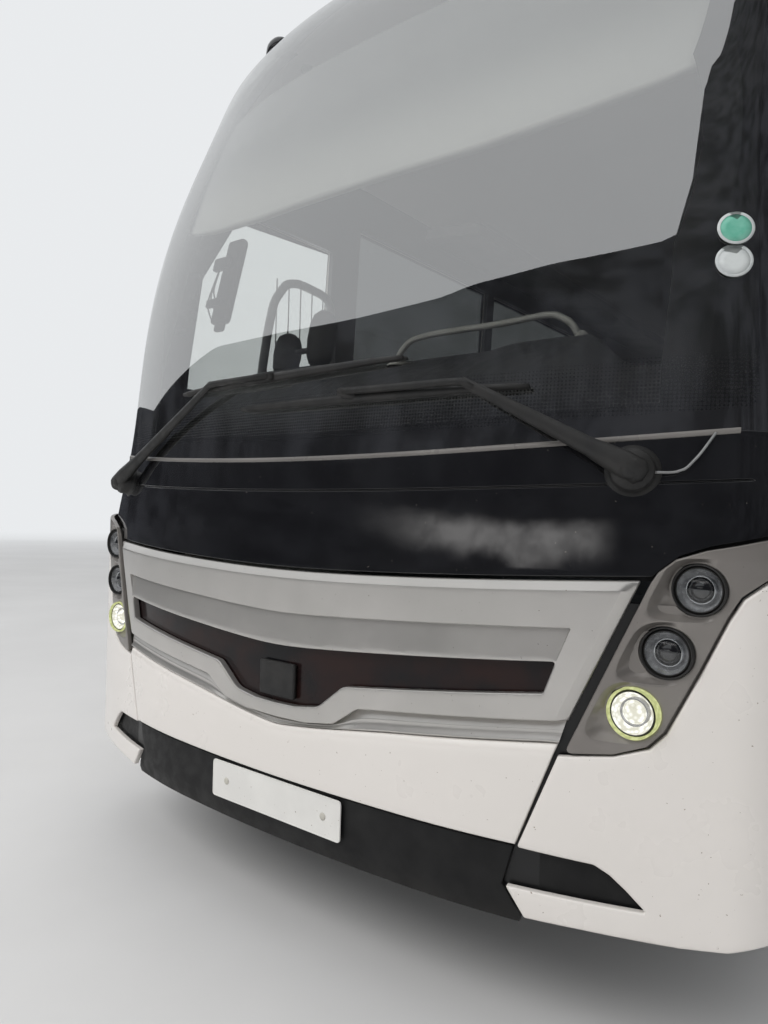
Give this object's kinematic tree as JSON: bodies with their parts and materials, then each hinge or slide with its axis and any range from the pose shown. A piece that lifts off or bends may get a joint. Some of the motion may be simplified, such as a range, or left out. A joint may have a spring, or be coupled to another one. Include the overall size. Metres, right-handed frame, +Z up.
{
  "type": "touring coach",
  "caption": "Touring coach with a curved windscreen, an outward-swinging door, luggage bays, steered front wheels and twin rear wheels.",
  "frame": {"origin": "on the ground below the middle of the body's box", "axes": "+Y to the rear, +X to the vehicle's left (door side), +Z up"},
  "size_m": [2.55, 12.3022, 3.7498],
  "materials": {
    "white_paint": "gloss",
    "silver_paint": "metallic satin",
    "black_panel": "gloss",
    "dark_plastic": "satin",
    "lamp_surround": "metallic satin",
    "clear_glass": "clear",
    "dark_glass": "tinted",
    "lamp_glass": "clear",
    "red_lens": "gloss",
    "frame_steel": "matt",
    "deck": "textured",
    "bay_alloy": "matt",
    "axle_iron": "rough",
    "engine_iron": "rough",
    "tyre": "matt",
    "rim_metal": "satin",
    "seat_cloth": "woven",
    "dash_plastic": "grained",
    "wheel_rim": "satin",
    "rack": "satin",
    "roof_white": "gloss"
  },
  "bodies": {
    "body": {"chassis": "frame_steel", "front_carrier": "dark_plastic", "floor_deck": "deck", "luggage_bay": "bay_alloy", "nose_frame": "black_panel", "windscreen": "clear_glass", "saloon_glass": "dark_glass", "side_left": "white_paint", "side_right": "white_paint", "skirts": "white_paint", "roof": "roof_white", "roof_unit": "roof_white", "tail_panel": "white_paint", "rear_bumper": "white_paint", "tail_lamps": "red_lens", "grille_panel": "silver_paint", "grille_insert": "black_panel", "front_bumper": "white_paint", "valance": "dark_plastic", "front_corners": "white_paint", "lamp_panels": "lamp_surround", "headlamps": "lamp_glass", "scuttle_panel": "black_panel", "wipers": "dark_plastic", "camera_arms": "dark_plastic", "front_axle": "axle_iron", "drive_axle": "axle_iron", "engine": "engine_iron", "towing_eyes": "frame_steel", "seats": "seat_cloth", "dashboard": "dash_plastic", "screen_header": "dash_plastic", "steering_wheel": "wheel_rim", "luggage_racks": "rack"},
    "door_arm": {"door_arm": "rim_metal"},
    "passenger_door": {"passenger_door": "white_paint", "door_glass": "dark_glass"},
    "engine_door": {"engine_door": "white_paint"},
    "knuckle_left": {"knuckle_left": "axle_iron"},
    "knuckle_right": {"knuckle_right": "axle_iron"},
    "tie_rod": {"tie_rod": "axle_iron"},
    "wheel_front_left": {"tyre_front_left": "tyre", "rim_front_left": "rim_metal"},
    "wheel_front_right": {"tyre_front_right": "tyre", "rim_front_right": "rim_metal"},
    "wheels_rear_left": {"tyres_rear_left": "tyre", "rims_rear_left": "rim_metal"},
    "wheels_rear_right": {"tyres_rear_right": "tyre", "rims_rear_right": "rim_metal"},
    "locker_left_1": {"locker_left_1": "white_paint"},
    "locker_left_2": {"locker_left_2": "white_paint"},
    "locker_left_3": {"locker_left_3": "white_paint"},
    "locker_right_1": {"locker_right_1": "white_paint"},
    "locker_right_2": {"locker_right_2": "white_paint"},
    "locker_right_3": {"locker_right_3": "white_paint"}
  },
  "joints": [
    {"name": "steer_left", "type": "hinge", "parent": "body", "child": "knuckle_left", "pos_m": [0.965, -3.4, 0.522], "axis": [0, 0, 1], "range_deg": [-40, 40]},
    {"name": "steer_right", "type": "hinge", "parent": "body", "child": "knuckle_right", "pos_m": [-0.965, -3.4, 0.522], "axis": [0, 0, 1], "range_deg": [-40, 40]},
    {"name": "tie_rod_swing", "type": "hinge", "parent": "knuckle_left", "child": "tie_rod", "pos_m": [0.965, -3.22, 0.398], "axis": [0, 0, 1], "range_deg": [-40, 40]},
    {"name": "spin_front_left", "type": "hinge", "parent": "knuckle_left", "child": "wheel_front_left", "pos_m": [1.085, -3.4, 0.522], "axis": [1, 0, 0], "continuous": true},
    {"name": "spin_front_right", "type": "hinge", "parent": "knuckle_right", "child": "wheel_front_right", "pos_m": [-1.085, -3.4, 0.522], "axis": [1, 0, 0], "continuous": true},
    {"name": "spin_rear_left", "type": "hinge", "parent": "body", "child": "wheels_rear_left", "pos_m": [0.9175, 2.7, 0.522], "axis": [1, 0, 0], "continuous": true},
    {"name": "spin_rear_right", "type": "hinge", "parent": "body", "child": "wheels_rear_right", "pos_m": [-0.9175, 2.7, 0.522], "axis": [1, 0, 0], "continuous": true},
    {"name": "door_swing", "type": "hinge", "parent": "body", "child": "door_arm", "pos_m": [1.15, -5.43, 1.2], "axis": [0, 0, -1], "range_deg": [0, 160]},
    {"name": "door_turn", "type": "hinge", "parent": "door_arm", "child": "passenger_door", "pos_m": [1.15, -4.96, 1.2], "axis": [0, 0, -1], "range_deg": [-160, 0]},
    {"name": "engine_door_lift", "type": "hinge", "parent": "body", "child": "engine_door", "pos_m": [0, 6.14, 1.69], "axis": [1, 0, 0], "range_deg": [0, 85]},
    {"name": "locker_left_1_lift", "type": "hinge", "parent": "body", "child": "locker_left_1", "pos_m": [1.265, -1.92533, 1.164], "axis": [0, -1, 0], "range_deg": [0, 90]},
    {"name": "locker_left_2_lift", "type": "hinge", "parent": "body", "child": "locker_left_2", "pos_m": [1.265, -0.35, 1.164], "axis": [0, -1, 0], "range_deg": [0, 90]},
    {"name": "locker_left_3_lift", "type": "hinge", "parent": "body", "child": "locker_left_3", "pos_m": [1.265, 1.22533, 1.164], "axis": [0, -1, 0], "range_deg": [0, 90]},
    {"name": "locker_right_1_lift", "type": "hinge", "parent": "body", "child": "locker_right_1", "pos_m": [-1.265, -1.92533, 1.164], "axis": [0, 1, 0], "range_deg": [0, 90]},
    {"name": "locker_right_2_lift", "type": "hinge", "parent": "body", "child": "locker_right_2", "pos_m": [-1.265, -0.35, 1.164], "axis": [0, 1, 0], "range_deg": [0, 90]},
    {"name": "locker_right_3_lift", "type": "hinge", "parent": "body", "child": "locker_right_3", "pos_m": [-1.265, 1.22533, 1.164], "axis": [0, 1, 0], "range_deg": [0, 90]}
  ],
  "couplings": [
    {"joint": "steer_right", "follows": "steer_left", "ratio": 1},
    {"joint": "tie_rod_swing", "follows": "steer_left", "ratio": -1},
    {"joint": "door_turn", "follows": "door_swing", "ratio": -1}
  ]
}
